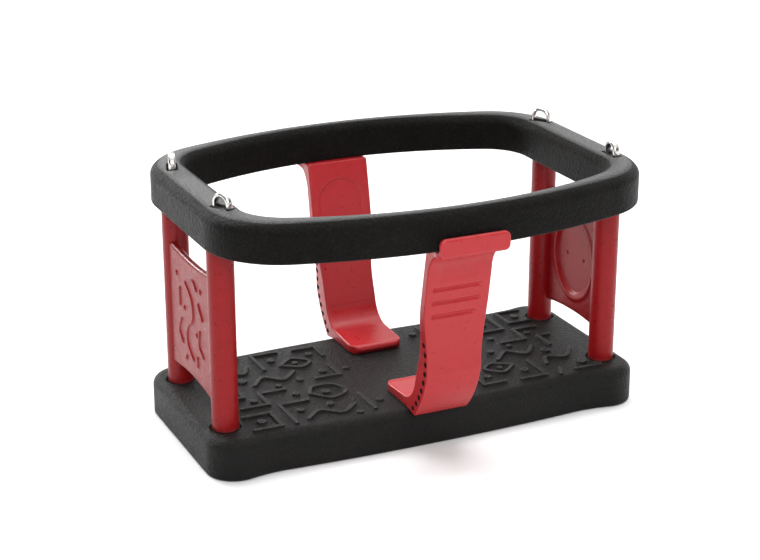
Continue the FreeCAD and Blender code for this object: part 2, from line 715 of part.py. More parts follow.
def strap_profile():
    """The strap seen from its side, as distance out from the seat's middle and height.

    It hooks under and round the ring, comes down and in, thickens to a heel on the base and ends in a toe.
    """
    floor = size("base_height")
    ring = size("ring_level")
    rail_out = size("ring_width / 2")
    rail_in = size("ring_width / 2 - rail_side")
    gap = size("fit_gap")
    inner_top = rail_in - size("strap_head_inset")
    outer_top = inner_top + size("strap_top_thickness")
    heel_out = rail_out - size("strap_heel_inset")
    heel_up = floor + size("strap_heel_height")
    toe = size("strap_toe_reach")
    lip_in = rail_out + gap
    lip_out = lip_in + size("strap_lip_thickness")
    lip_up = ring + size("strap_lip_height")
    under = ring - gap
    flange = ring - size("strap_flange_thickness")
    lip_round = size("strap_lip_thickness") / 2

    head = (inner_top, under)
    waist = (inner_top - 17.5, floor + 82)
    knee = (inner_top - 27.5, floor + 30)
    sole = (heel_out - 43.5, floor + 10)
    toe_top = (toe + 5, floor + 8.2)
    toe_tip = (toe, floor + 3.6)
    toe_foot = (toe + 1, floor)
    heel_foot = (heel_out - 26, floor)
    heel = (heel_out, heel_up)
    back = (heel_out - 0.4, heel_up + 58)
    scoop = (outer_top - 2.5, ring - 28)
    edges = [
        bend(head, (inner_top - 9.5, floor + 128), waist),
        straight(waist, knee),
        bend(knee, (heel_out - 31.5, floor + 16.5), sole),
        straight(sole, toe_top),
        bend(toe_top, (toe + 1.2, floor + 6.5), toe_tip),
        straight(toe_tip, toe_foot),
        straight(toe_foot, heel_foot),
        bend(heel_foot, (heel_out - 7.5, floor + 19), heel),
        bend(heel, (heel_out - 2.2, heel_up + 30), back),
        straight(back, scoop),
        bend(scoop, (outer_top + 3.5, ring - 11.5), (outer_top + 14, flange)),
        straight((outer_top + 14, flange), (lip_out - 4, flange)),
        bend((lip_out - 4, flange), (lip_out - 1.2, flange + 1.2), (lip_out, flange + 4)),
        straight((lip_out, flange + 4), (lip_out, lip_up - lip_round)),
        bend((lip_out, lip_up - lip_round), (lip_out - lip_round, lip_up), (lip_in, lip_up - lip_round)),
        straight((lip_in, lip_up - lip_round), (lip_in, under)),
        straight((lip_in, under), head),
    ]
    return Part.Wire(edges)


def strap_front_view():
    """The strap's outline seen from the front: wide lip, body that narrows towards the heel, square toe."""
    floor = size("base_height")
    ring = size("ring_level")
    lip = size("strap_lip_half_width")
    top = size("strap_half_width")
    low = size("strap_waist_half_width")
    shoulder = ring - size("strap_flange_thickness")
    tip = ring + size("strap_lip_height")
    right = [(low, floor), (low, floor + 62), (top, floor + 112), (top, shoulder), (lip, shoulder), (lip, tip)]
    outline = right + [(-x, z) for x, z in reversed(right)]
    corners = [FreeCAD.Vector(x, 0, z) for x, z in outline]
    return Part.makePolygon(corners + corners[:1])


def core_line():
    """The arc on which the transverse cores lie, inside the strap's thick lower part."""
    floor = size("base_height")
    heel_out = size("ring_width / 2 - strap_heel_inset")
    return Part.Arc(FreeCAD.Vector(0, 7.2 - heel_out, floor + 70),
                    FreeCAD.Vector(0, 8.6 - heel_out, floor + 31),
                    FreeCAD.Vector(0, 24 - heel_out, floor + 7.5))


def strap_shape():
    reach = size("ring_width")
    wide = size("strap_lip_half_width")
    side_view = Part.Face(strap_profile()).extrude(FreeCAD.Vector(2 * wide, 0, 0))
    side_view.translate(FreeCAD.Vector(-wide, 0, 0))
    front_view = Part.Face(strap_front_view()).extrude(FreeCAD.Vector(0, -reach, 0))
    shape = side_view.common(front_view)
    along = FreeCAD.Vector(1, 0, 0)
    up = FreeCAD.Vector(0, 0, 1)
    core = size("strap_core_diameter") / 2
    cuts = [Part.makeCylinder(core, 2 * wide, point - along * wide, along)
            for point in core_line().discretize(int(size("strap_core_count")))]
    hole = size("strap_screw_diameter + strap_screw_play") / 2
    head = size("strap_screw_head_diameter") / 2 + size("fit_gap")
    insert = size("strap_insert_diameter") / 2
    seat = strap_head_seat()
    for x in (-size("strap_screw_x"), size("strap_screw_x")):
        foot = FreeCAD.Vector(x, -size("strap_foot_screw_y"), size("base_height"))
        cuts.append(Part.makeCylinder(insert + size("insert_gap"), size("strap_insert_height"), foot, up))
        under = FreeCAD.Vector(x, -size(RAIL_MIDDLE), seat)
        cuts.append(Part.makeCylinder(hole, size("strap_flange_thickness"), under, up))
        cuts.append(Part.makeCylinder(head, size("strap_flange_thickness"), under, -up))
    return shape.cut(Part.makeCompound(cuts)).Solids[0]


def strap_head_seat():
    """The height of the face that the strap's head screws bear on."""
    return size("ring_level - strap_flange_thickness + strap_screw_head_height")


def build_straps():
    for end, sign in ENDS.items():
        strap = doc.addObject("Part::Feature", end + "_leg_strap")
        strap.Shape = strap_shape()
        turn = 0 if sign < 0 else 180
        strap.Placement = FreeCAD.Placement(FreeCAD.Vector(), FreeCAD.Rotation(FreeCAD.Vector(0, 0, 1), turn))
        keep(strap, end + "_leg_strap")


def build_strap_fasteners():
    foot = list(enumerate(strap_foot_places(), 1))
    head = list(enumerate(strap_head_places(), 1))
    washer_foot = "base_plate_level - strap_washer_thickness"
    seat = "( ring_level - strap_flange_thickness + strap_screw_head_height )"
    nut_foot = f"( {RING_PLATE_FOOT} - strap_nut_height )"
    threaded = "strap_screw_diameter + 2 * thread_gap"
    group("strap_foot_inserts", [
        add_tube(f"foot_insert_{n}", "strap_insert_diameter", threaded, "strap_insert_height", x, y, "base_height")
        for n, (x, y) in foot])
    group("strap_foot_screws", [
        add_screw(f"foot_screw_{n}", "strap_screw_diameter",
                  f"base_height + strap_insert_height - bolt_tip_setback - ( {washer_foot} )",
                  "strap_screw_head_diameter", "strap_screw_head_height", x, y, washer_foot)
        for n, (x, y) in foot])
    group("strap_foot_washers", [
        add_tube(f"foot_washer_{n}", "strap_washer_diameter", "strap_screw_diameter + strap_screw_play",
                 "strap_washer_thickness", x, y, washer_foot)
        for n, (x, y) in foot])
    group("strap_head_screws", [
        add_screw(f"head_screw_{n}", "strap_screw_diameter",
                  f"{RING_PLATE_FOOT} - bolt_tip_setback - {seat}",
                  "strap_screw_head_diameter", "strap_screw_head_height", x, y, seat)
        for n, (x, y) in head])
    group("strap_head_nuts", [
        add_tube(f"head_nut_{n}", "strap_nut_diameter", threaded, "strap_nut_height", x, y, nut_foot)
        for n, (x, y) in head])


# ---------------------------------------------------------------- build, check and write

def build():
    fill_sheet()
    build_base_rubber()
    build_base_plate()
    build_ring_rubber()
    build_ring_plate()
    for side, sign in SIDES.items():
        build_panel(side, sign)
    build_tie_bolts()
    build_eyelets()
    build_straps()
    build_strap_fasteners()
    doc.recompute()


def check():
    for item in doc.Objects:
        if "Invalid" in item.State or "Error" in item.State:
            raise RuntimeError(f"{item.Label} failed: {item.State}")
    for node in nodes:
        if node.Shape.isNull() or not node.Shape.isValid():
            raise RuntimeError(f"{node.Label} has no valid shape")
        if not node.Shape.Solids:
            raise RuntimeError(f"{node.Label} has no solid")


def write():
    os.makedirs("parts", exist_ok=True)
    for node in nodes:
        node.Shape.exportStep(f"parts/{node.Label}.step")
        print(f"{node.Label}: {len(node.Shape.Solids)} solids, {node.Shape.Volume / 1000:.1f} cm3")


build()
check()
write()
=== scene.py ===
import math
import bpy
import numpy as np
from mathutils import Matrix, Vector
from mathutils.geometry import delaunay_2d_cdt


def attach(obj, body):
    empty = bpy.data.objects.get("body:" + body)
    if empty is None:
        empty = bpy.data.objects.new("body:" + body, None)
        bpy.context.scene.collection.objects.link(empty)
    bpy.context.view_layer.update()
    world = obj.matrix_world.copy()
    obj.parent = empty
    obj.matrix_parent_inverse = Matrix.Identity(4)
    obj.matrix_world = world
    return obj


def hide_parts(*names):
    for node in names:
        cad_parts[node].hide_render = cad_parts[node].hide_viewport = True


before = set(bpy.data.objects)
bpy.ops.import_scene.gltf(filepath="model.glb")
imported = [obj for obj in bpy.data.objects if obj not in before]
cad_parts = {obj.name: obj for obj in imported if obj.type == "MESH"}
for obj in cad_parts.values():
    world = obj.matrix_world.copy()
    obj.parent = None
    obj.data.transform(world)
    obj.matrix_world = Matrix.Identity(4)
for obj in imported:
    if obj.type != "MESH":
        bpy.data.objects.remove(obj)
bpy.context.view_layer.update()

# Lengths are in millimetres until add_mesh turns them into metres.
BASE_HALF, BASE_MIDDLE, BASE_TOP = 220.0, 100.3, 38.0
BASE_EDGE, BASE_FOOT_EDGE = 9.0, 2.5
RING_FOOT, RING_TOP = 211.0, 247.0
# The ring's outlines: half length, half width, corner radius, radius of the long sides.
RING_OUTSIDE = (213.5, 159.5, 74.0, 560.0)
RING_MOUTH = (178.0, 139.0, 42.0, 385.0)
POST_X, POST_Y, POST_RADIUS = 196.5, 60.6, 12.25
POST_FOOT, POST_HEAD = 37.0, 210.95
WEB_ROUND = 3.5
STRAP_EDGE = 1.9
STRAP_HOLE_RADIUS, STRAP_HOLE_COUNT = 2.75, 9
EYELET_X, EYELET_Y = 195.0, 67.0
EYELET_YAW = {(-1, -1): 25, (1, -1): 3, (-1, 1): 17, (1, 1): 34}
CORNERS = [("front_left", -1, -1), ("front_right", 1, -1), ("back_left", -1, 1), ("back_right", 1, 1)]


# ---------------------------------------------------------------- numbers and meshes

def ease(low, high, value):
    """0 below low, 1 above high, and a smooth step between."""
    t = np.clip((value - low) / (high - low), 0, 1)
    return t * t * (3 - 2 * t)


def distance(points, line):
    """Distance of each point from a polyline, in two dimensions."""
    best = np.full(len(points), 1e9)
    line = np.asarray(line, float)
    for a, b in zip(line[:-1], line[1:]):
        d = b - a
        t = np.clip((points - a) @ d / max(d @ d, 1e-9), 0, 1)
        best = np.minimum(best, np.hypot(*(points - a - t[:, None] * d).T))
    return best


def curve(points, steps=8):
    """A smooth line through the points (Catmull-Rom)."""
    p = np.asarray(points, float)
    p = np.vstack([2 * p[0] - p[1], p, 2 * p[-1] - p[-2]])
    out = []
    for i in range(1, len(p) - 2):
        for t in np.linspace(0, 1, steps, endpoint=False):
            out.append(0.5 * (2 * p[i] + (p[i + 1] - p[i - 1]) * t
                              + (2 * p[i - 1] - 5 * p[i] + 4 * p[i + 1] - p[i + 2]) * t * t
                              + (3 * p[i] - p[i - 1] - 3 * p[i + 1] + p[i + 2]) * t ** 3))
    out.append(p[-2])
    return np.array(out)


def ribs(points, strokes, soft=0.9):
    """Height 0 to 1 of the rounded strokes (line, half width) at each point."""
    height = np.zeros(len(points))
    for line, half in strokes:
        line = np.asarray(line, float)
        near = np.all((points > line.min(0) - half - 3) & (points < line.max(0) + half + 3), axis=1)
        d = distance(points[near], line)
        height[near] = np.maximum(height[near], 1 - ease(half - soft, half + soft, d))
    return height


def strip(a, b, closed=True):
    """Quads between two rows of vertex numbers."""
    n = len(a)
    last = n if closed else n - 1
    return [(a[i], a[(i + 1) % n], b[(i + 1) % n], b[i]) for i in range(last)]


def sheet_faces(rows, columns):
    """Quads of a grid of vertices that are numbered row by row."""
    grid = np.arange(rows * columns).reshape(rows, columns)
    quads = np.stack([grid[:-1, :-1], grid[:-1, 1:], grid[1:, 1:], grid[1:, :-1]], axis=-1)
    return quads.reshape(-1, 4).tolist()


def closed_line(line):
    return np.vstack([line, line[:1]])


def inside(points, closed):
    """Whether each point is inside the closed line, by counting crossings."""
    hit = np.zeros(len(points), bool)
    x, y = points[:, 0], points[:, 1]
    for (x0, y0), (x1, y1) in zip(closed[:-1], closed[1:]):
        if y0 == y1:
            continue
        crosses = (y0 > y) != (y1 > y)
        hit ^= crosses & (x < (x1 - x0) * (y - y0) / (y1 - y0) + x0)
    return hit


def filled(outlines, spacing):
    """Triangles inside the first outline and outside the others, with a lattice of inner points."""
    points = [tuple(p) for line in outlines for p in line]
    edges = []
    start = 0
    for line in outlines:
        edges += [(start + i, start + (i + 1) % len(line)) for i in range(len(line))]
        start += len(line)
    outer = np.asarray(outlines[0])
    xs = np.arange(outer[:, 0].min() + spacing / 2, outer[:, 0].max(), spacing)
    ys = np.arange(outer[:, 1].min() + spacing / 2, outer[:, 1].max(), spacing)
    lattice = np.array([(x, y) for x in xs for y in ys])
    keep = np.ones(len(lattice), bool)
    for k, line in enumerate(outlines):
        closed = closed_line(line)
        keep &= (inside(lattice, closed) == (k == 0)) & (distance(lattice, closed) > spacing * 0.5)
    points += [tuple(p) for p in lattice[keep]]
    result = delaunay_2d_cdt([Vector(p) for p in points], edges, [], 1, 1e-6)
    corners = np.array([tuple(p) for p in result[0]])
    faces = [tuple(f) for f in result[2]]
    middles = np.array([corners[list(f)].mean(0) for f in faces])
    good = np.ones(len(middles), bool)
    for k, line in enumerate(outlines):
        good &= inside(middles, closed_line(line)) == (k == 0)
    return corners, [f for f, g in zip(faces, good) if g]


def add_mesh(name, points, faces, material, sharp, replaces):
    """Adds a piece that stands for a CAD node; edges over sharp degrees aren't smoothed."""
    mesh = bpy.data.meshes.new(name)
    mesh.from_pydata((np.asarray(points, float) * 0.001).tolist(), [], faces)
    mesh.update()
    mesh.polygons.foreach_set("use_smooth", [True] * len(mesh.polygons))
    mesh.set_sharp_from_angle(angle=math.radians(sharp))
    mesh.materials.append(material)
    piece = bpy.data.objects.new(name, mesh)
    bpy.context.scene.collection.objects.link(piece)
    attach(piece, "root")
    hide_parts(replaces)
    return piece


class Builder:
    """Collects rows of points and faces for one mesh."""

    def __init__(self):
        self.points = []
        self.faces = []

    def row(self, points):
        first = len(self.points)
        self.points += [tuple(p) for p in points]
        return list(range(first, len(self.points)))

    def bands(self, rows, closed=True):
        for a, b in zip(rows[:-1], rows[1:]):
            self.faces += strip(a, b, closed)

    def patch(self, points, faces):
        first = len(self.points)
        self.points += [tuple(p) for p in points]
        self.faces += [tuple(first + i for i in f) for f in faces]


# ---------------------------------------------------------------- materials

def material(name, **settings):
    made = bpy.data.materials.new(name)
    made.use_nodes = True
    shader = made.node_tree.nodes["Principled BSDF"]
    for key, value in settings.items():
        shader.inputs[key.replace("_", " ")].default_value = value
    return made, made.node_tree, shader


def link(tree, source, target):
    tree.links.new(source, target)


def noise(tree, scale, detail=3.0, rough=0.6, stretch=(1, 1, 1)):
    place = tree.nodes.new("ShaderNodeTexCoord")
    mapping = tree.nodes.new("ShaderNodeMapping")
    mapping.inputs["Scale"].default_value = stretch
    texture = tree.nodes.new("ShaderNodeTexNoise")
    texture.inputs["Scale"].default_value = scale
    texture.inputs["Detail"].default_value = detail
    texture.inputs["Roughness"].default_value = rough
    link(tree, place.outputs["Object"], mapping.inputs["Vector"])
    link(tree, mapping.outputs["Vector"], texture.inputs["Vector"])
    return texture.outputs["Fac"]


def ramp(tree, source, stops):
    """Colours by value: each stop is (value, colour)."""
    node = tree.nodes.new("ShaderNodeValToRGB")
    elements = node.color_ramp.elements
    while len(elements) < len(stops):
        elements.new(0.5)
    for element, (place, colour) in zip(elements, stops):
        element.position = place
        element.color = (*colour, 1)
    link(tree, source, node.inputs["Fac"])
    return node.outputs["Color"]


def grey_ramp(tree, source, *stops):
    """Greys by value: each stop is (value, brightness)."""
    return ramp(tree, source, [(value, (grey, grey, grey)) for value, grey in stops])


def spread(tree, source, low, high, start=0.3, end=0.7):
    """Maps start to end onto low to high."""
    node = tree.nodes.new("ShaderNodeMapRange")
    node.inputs["From Min"].default_value = start
    node.inputs["From Max"].default_value = end
    node.inputs["To Min"].default_value = low
    node.inputs["To Max"].default_value = high
    link(tree, source, node.inputs["Value"])
    return node.outputs["Result"]


def blend(tree, mode, amount, first, second):
    node = tree.nodes.new("ShaderNodeMix")
    node.data_type = "RGBA"
    node.blend_type = mode
    node.inputs["Factor"].default_value = amount
    link(tree, first, node.inputs["A"])
    link(tree, second, node.inputs["B"])
    return node.outputs["Result"]


def bump(tree, layers, shader):
    """Stacks bumps: each layer is (height output, strength, depth in metres)."""
    last = None
    for height, strength, depth in layers:
        node = tree.nodes.new("ShaderNodeBump")
        node.inputs["Strength"].default_value = strength
        node.inputs["Distance"].default_value = depth
        link(tree, height, node.inputs["Height"])
        if last:
            link(tree, last, node.inputs["Normal"])
        last = node.outputs["Normal"]
    link(tree, last, shader.inputs["Normal"])


def painted_edge_highlight(tree, colour, amount, light):
    """Lightens the raised edges with a painted highlight: a paler colour along convex edges, found by
    pointiness.
    """
    geometry = tree.nodes.new("ShaderNodeNewGeometry")
    edges = spread(tree, geometry.outputs["Pointiness"], 0.0, amount, 0.52, 0.60)
    node = tree.nodes.new("ShaderNodeMix")
    node.data_type = "RGBA"
    link(tree, edges, node.inputs["Factor"])
    link(tree, colour, node.inputs["A"])
    node.inputs["B"].default_value = (*light, 1)
    return node.outputs["Result"]


def black_rubber(name, sheen, top_sheen, smooth, rough):
    """Moulded rubber; its level tops, smoothed by wear, shine more; its raised edges get a painted highlight.
    """
    made, tree, shader = material(name, Roughness=0.6, Specular_IOR_Level=sheen)
    geometry = tree.nodes.new("ShaderNodeNewGeometry")
    parts = tree.nodes.new("ShaderNodeSeparateXYZ")
    link(tree, geometry.outputs["Normal"], parts.inputs["Vector"])
    level = spread(tree, parts.outputs["Z"], sheen, top_sheen, 0.9, 1.0)
    link(tree, level, shader.inputs["Specular IOR Level"])
    grain = noise(tree, 340, 3, 0.75)
    cloud = noise(tree, 24, 4, 0.6)
    speck = noise(tree, 1400, 1, 0.5)
    pebble = spread(tree, grain, 0, 1, 0.36, 0.64)
    blacks = [(0.35, (0.004, 0.0036, 0.0033)), (0.6, (0.0072, 0.0066, 0.006)), (0.8, (0.02, 0.0185, 0.0175))]
    base = ramp(tree, grain, blacks)
    dust = ramp(tree, cloud, [(0.35, (0.8, 0.8, 0.8)), (0.7, (1.2, 1.18, 1.16))])
    # painted highlight: the colour of the raised edges is lightened towards pale grey
    with_edge_highlight = painted_edge_highlight(tree, blend(tree, "MULTIPLY", 1.0, base, dust), 0.8, (0.22, 0.215, 0.21))
    link(tree, with_edge_highlight, shader.inputs["Base Color"])
    link(tree, spread(tree, grain, smooth, rough), shader.inputs["Roughness"])
    bump(tree, [(cloud, 0.3, 0.0008), (pebble, 1.0, 0.0007), (speck, 0.8, 0.0004)], shader)
    return made


def coloured(name, light, dark, rough, sheen, grain_depth=0.0002):
    """Mottled moulded plastic with a fine grain."""
    made, tree, shader = material(name, Roughness=rough, Specular_IOR_Level=sheen)
    mottle = noise(tree, 130, 5, 0.65)
    grain = noise(tree, 1100, 2, 0.6)
    colour = ramp(tree, mottle, [(0.3, dark), (0.7, light)])
    # painted highlight: the colour of the raised edges is lightened towards pale red
    link(tree, painted_edge_highlight(tree, colour, 0.45, (0.85, 0.30, 0.30)), shader.inputs["Base Color"])
    link(tree, spread(tree, mottle, rough - 0.08, rough + 0.1), shader.inputs["Roughness"])
    bump(tree, [(mottle, 0.25, 0.0005), (grain, 0.5, grain_depth)], shader)
    return made


def steel(name, colour, rough, brushed):
    """Metal with fine marks; brushed below 1 draws them out upwards."""
    made, tree, shader = material(name, Roughness=rough, Metallic=1.0, Base_Color=(*colour, 1))
    marks = noise(tree, 500, 4, 0.6, (1, 1, brushed))
    stain = noise(tree, 90, 4, 0.6)
    tint = ramp(tree, stain, [(0.3, tuple(0.8 * c for c in colour)), (0.7, colour)])
    link(tree, tint, shader.inputs["Base Color"])
    link(tree, spread(tree, marks, rough * 0.75, rough * 1.4), shader.inputs["Roughness"])
    bump(tree, [(marks, 0.12, 0.0002)], shader)
    return made


RUBBER = black_rubber("black_rubber", 0.16, 0.16, 0.34, 0.56)
RING_RUBBER = black_rubber("ring_rubber", 0.06, 0.95, 0.28, 0.5)
RED_PANEL = coloured("red_panel", (0.26, 0.006, 0.008), (0.22, 0.005, 0.0065), 0.32, 0.2)
RED_STRAP = coloured("red_strap", (0.41, 0.015, 0.019), (0.365, 0.0125, 0.0165), 0.33, 0.4)
STEEL = steel("polished_steel", (0.82, 0.81, 0.79), 0.16, 1)
# painted shade: near-black red for the walls of the strap holes, where shade falls inside the strap
BORE_SHADE = coloured("strap_cores_painted_shade", (0.012, 0.002, 0.002), (0.008, 0.001, 0.001), 0.8, 0.3, 0.0001)
ZINC = steel("zinc_steel", (0.60, 0.61, 0.62), 0.34, 0.1)


# ---------------------------------------------------------------- outlines

def arc_points(x, y, radius, start, end, count, hollow=False):
    """Points and outward normals along an arc, without its last point."""
    angles = np.linspace(start, end, count, endpoint=False)
    ways = np.stack([np.cos(angles), np.sin(angles)], 1)
    return np.array([x, y]) + radius * ways, -ways if hollow else ways


def line_points(a, b, normal, count):
    t = np.linspace(0, 1, count, endpoint=False)[:, None]
    return np.array(a) * (1 - t) + np.array(b) * t, np.tile(normal, (count, 1))


def ring_loop(half_x, half_y, corner, bulge, counts):
    """The ring's outline, counterclockwise: short sides, corners and long sides of a larger arc."""
    straight, round_, side = counts
    x = half_x - corner
    y = half_y - bulge + math.sqrt((bulge - corner) ** 2 - x ** 2)
    turn = math.atan2(y - half_y + bulge, x)
    pi = math.pi
    parts = [
        line_points((half_x, -y), (half_x, y), (1, 0), straight),
        arc_points(x, y, corner, 0, turn, round_),
        arc_points(0, half_y - bulge, bulge, turn, pi - turn, side),
        arc_points(-x, y, corner, pi - turn, pi, round_),
        line_points((-half_x, y), (-half_x, -y), (-1, 0), straight),
        arc_points(-x, -y, corner, pi, pi + turn, round_),
        arc_points(0, bulge - half_y, bulge, pi + turn, 2 * pi - turn, side),
        arc_points(x, -y, corner, 2 * pi - turn, 2 * pi, round_),
    ]
    return np.vstack([p for p, _ in parts]), np.vstack([n for _, n in parts])


def circle(x, y, radius, count=40):
    return arc_points(x, y, radius, 0, 2 * math.pi, count)[0]


def edge_round(radius, count):
    """A quarter round from a flat to a wall: (way out, way down) pairs, the flat's end first."""
    angles = np.linspace(0, math.pi / 2, count)
    return [(radius * math.sin(angle), radius * (1 - math.cos(angle))) for angle in angles]


# ---------------------------------------------------------------- base

def base_side():
    """One quarter of the top's inset outline: x, half width and outward normal, from the middle out."""
    inset = BASE_EDGE
    corner, hollow, bulge, waist_x = 28.0, 127.0, 2200.0, 157.0
    hollow_y = BASE_MIDDLE - bulge + math.sqrt((bulge + hollow) ** 2 - waist_x ** 2)
    corner_x = BASE_HALF - corner
    corner_y = hollow_y - math.sqrt((corner + hollow) ** 2 - (corner_x - waist_x) ** 2)
    turn = math.atan2(hollow_y - corner_y, waist_x - corner_x)
    over = math.atan2(hollow_y - BASE_MIDDLE + bulge, waist_x)
    parts = [
        arc_points(0, BASE_MIDDLE - bulge, bulge - inset, math.pi / 2, over, 215),
        arc_points(waist_x, hollow_y, hollow + inset, math.pi + over, math.pi + turn, 52, hollow=True),
        arc_points(corner_x, corner_y, corner - inset, turn, 0, 34),
    ]
    points = np.vstack([p for p, _ in parts] + [[[BASE_HALF - inset, corner_y]]])
    normals = np.vstack([n for _, n in parts] + [[[1.0, 0.0]]])
    return points, normals


def base_relief(points):
    """Ribs, discs and dots on the two ends of the seat, and a groove round each post."""
    wide, fine = 2.0, 1.7
    left = [
        ([(-176, -82), (-150, -82), (-150, -52), (-176, -52)], wide),
        ([(-136, -82), (-136, -40), (-108, -40)], wide),
        (curve([(-122, -78), (-106, -66), (-88, -78), (-72, -66)]), wide),
        ([(-58, -82), (-58, -46)], wide),
        (curve([(-100, -28), (-84, -44), (-66, -34), (-72, -16), (-92, -14), (-100, -28)]), fine),
        ([(-170, -34), (-144, -34), (-144, -8), (-118, -8)], wide),
        ([(-172, -10), (-160, -10), (-160, 14)], wide),
        (curve([(-140, 12), (-126, 26), (-110, 14), (-94, 28)]), wide),
        ([(-80, 4), (-56, 4), (-56, 30)], wide),
        (curve([(-172, 32), (-158, 48), (-140, 42), (-132, 56)]), wide),
        ([(-178, 56), (-178, 80), (-152, 80)], wide),
        ([(-118, 44), (-118, 80), (-92, 80)], wide),
        (curve([(-100, 46), (-84, 58), (-70, 46), (-82, 36), (-100, 46)]), fine),
        ([(-74, 78), (-52, 78), (-52, 54)], wide),
        ([(-138, 72), (-132, 84)], wide),
    ]
    dots = [
        (-164, -67, 4.5), (-122, -58, 3.5), (-92, -56, 3.5), (-74, -84, 3.0), (-84, -29, 4.0),
        (-112, -22, 3.5), (-154, -22, 3.5), (-148, 26, 5.0), (-120, 2, 3.0), (-68, 18, 4.0),
        (-104, 62, 4.0), (-85, 47, 3.0), (-166, 66, 5.0), (-64, 62, 3.5), (-96, 8, 3.5),
        (-46, -66, 3.5), (-44, 16, 3.0),
    ]
    strokes = left + [([(x - 0.01, y), (x + 0.01, y)], r) for x, y, r in dots]
    turned = [(-np.asarray(line, float) + (6, 0), half) for line, half in strokes]
    rib_height, groove_depth = 2.3, 2.6
    height = rib_height * ribs(points, strokes + turned, 0.5)
    for _, i, j in CORNERS:
        away = np.hypot(points[:, 0] - i * POST_X, points[:, 1] - j * POST_Y)
        clear = ease(16, 20, away)
        groove = 1 - ease(POST_RADIUS + 1.6, POST_RADIUS + 2.8, away)
        height = height * clear - groove_depth * groove
    return height


def build_base():
    side, normal = base_side()
    xs = np.concatenate([-side[:0:-1, 0], side[:, 0]])
    half = np.concatenate([side[:0:-1, 1], side[:, 1]])
    ways = np.vstack([normal[:0:-1] * (-1, 1), normal])
    columns, rows = len(xs), 250
    grid_x = np.tile(xs, (rows, 1))
    grid_y = np.linspace(-1, 1, rows)[:, None] * half[None, :]
    flat = np.stack([grid_x.ravel(), grid_y.ravel()], 1)
    top = np.column_stack([flat, BASE_TOP + base_relief(flat)])
    mesh = Builder()
    mesh.patch(top, sheet_faces(rows, columns))
    index = np.arange(rows * columns).reshape(rows, columns)
    border = np.concatenate([index[0, :-1], index[:-1, -1], index[-1, :0:-1], index[:0:-1, 0]])
    right = np.tile((1.0, 0.0), (rows - 1, 1))
    out = np.concatenate([ways[:-1] * (1, -1), right, ways[:0:-1], -right])
    rim = base_wall(mesh, border, top[border, :2], out)
    base_underside(mesh, rim)
    add_mesh("base_rubber", mesh.points, mesh.faces, RUBBER, 40, "base_seat_rubber")


def base_wall(mesh, border, edge, out):
    """The rounded edge and the wall, down from the top's border; gives the rim it ends in."""
    steps = [(o, BASE_TOP - d) for o, d in edge_round(BASE_EDGE, 12)[1:]]
    steps += [(BASE_EDGE, z) for z in np.linspace(BASE_TOP - BASE_EDGE, BASE_FOOT_EDGE, 14)[1:]]
    steps += [(BASE_EDGE - BASE_FOOT_EDGE + o, d) for o, d in reversed(edge_round(BASE_FOOT_EDGE, 6)[:-1])]
    loops = [list(border)]
    for way_out, z in steps:
        loops.append(mesh.row(np.column_stack([edge + out * way_out, np.full(len(edge), z)])))
    mesh.bands([loop[::-1] for loop in loops])
    return np.array(mesh.points)[loops[-1]][:, :2]


def base_underside(mesh, rim):
    """The flat underside, with a well up to the steel plate for each bolt and each foot screw."""
    depth, flare = 11.98, 0.6
    apart = np.hypot(*np.diff(rim, axis=0).T) > 0.15
    rim = rim[np.r_[True, apart]]
    bolts = [(i * POST_X, j * POST_Y, 13.0) for _, i, j in CORNERS]
    screws = [(i * 16.0, j * 78.0, 8.5) for i in (-1, 1) for j in (-1, 1)]
    outlines = [circle(x, y, radius + flare) for x, y, radius in bolts + screws]
    floor, faces = filled([rim] + outlines, 14.0)
    mesh.patch(np.column_stack([floor, np.zeros(len(floor))]), [f[::-1] for f in faces])
    for x, y, radius in bolts + screws:
        rings = []
        for wider, z in ((flare, 0), (0.15, 0.2), (0, 0.7), (0, depth)):
            ring = circle(x, y, radius + wider)
            rings.append(mesh.row(np.column_stack([ring, np.full(len(ring), z)])))
        mesh.bands([ring[::-1] for ring in rings])


# ---------------------------------------------------------------- top ring

def build_ring():
    counts = (110, 90, 240)
    outer, out = ring_loop(*RING_OUTSIDE, counts)
    mouth, mouth_out = ring_loop(*RING_MOUTH, counts)
    across = mouth - outer
    width = np.hypot(*across.T)[:, None]
    across /= width
    outer_round, outer_drop = np.minimum(15.0, 0.5 * width), 11.0
    mouth_round, mouth_drop = np.minimum(12.0, 0.45 * width), 9.5
    foot = 1.4
    mesh = Builder()
    rows = []

    def wall(loop, ways, steps):
        for inset, z in steps:
            rows.append(mesh.row(np.column_stack([loop - ways * inset, np.full(len(loop), z)])))

    def top(inset, z):
        flat = outer + across * inset
        rows.append(mesh.row(np.column_stack([flat, z + ring_dimples(flat)])))

    turn = np.linspace(0, math.pi / 2, 16)
    rise = [(foot - o, RING_FOOT + d) for o, d in edge_round(foot, 5)]
    outside = [(0, z) for z in np.linspace(RING_FOOT + foot, RING_TOP - outer_drop, 14)[1:]]
    wall(outer, out, rise + outside)
    for angle in turn[1:]:
        top(outer_round * (1 - math.cos(angle)), RING_TOP - outer_drop * (1 - math.sin(angle)))
    for t in np.linspace(0, 1, 10)[1:-1]:
        top(outer_round * (1 - t) + (width - mouth_round) * t, RING_TOP)
    for angle in turn[:0:-1]:
        top(width - mouth_round * (1 - math.cos(angle)), RING_TOP - mouth_drop * (1 - math.sin(angle)))
    within = [(0, z) for z in np.linspace(RING_TOP - mouth_drop, RING_FOOT + foot, 14)[:-1]]
    wall(mouth, -mouth_out, within + rise[::-1])
    a, b = mouth + mouth_out * foot, outer - out * foot
    for t in np.linspace(0, 1, 7)[1:-1]:
        rows.append(mesh.row(np.column_stack([a * (1 - t) + b * t, np.full(len(a), RING_FOOT)])))
    rows.append(rows[0])
    mesh.bands(rows)
    add_mesh("ring_rubber", mesh.points, mesh.faces, RING_RUBBER, 60, "top_ring_rubber")


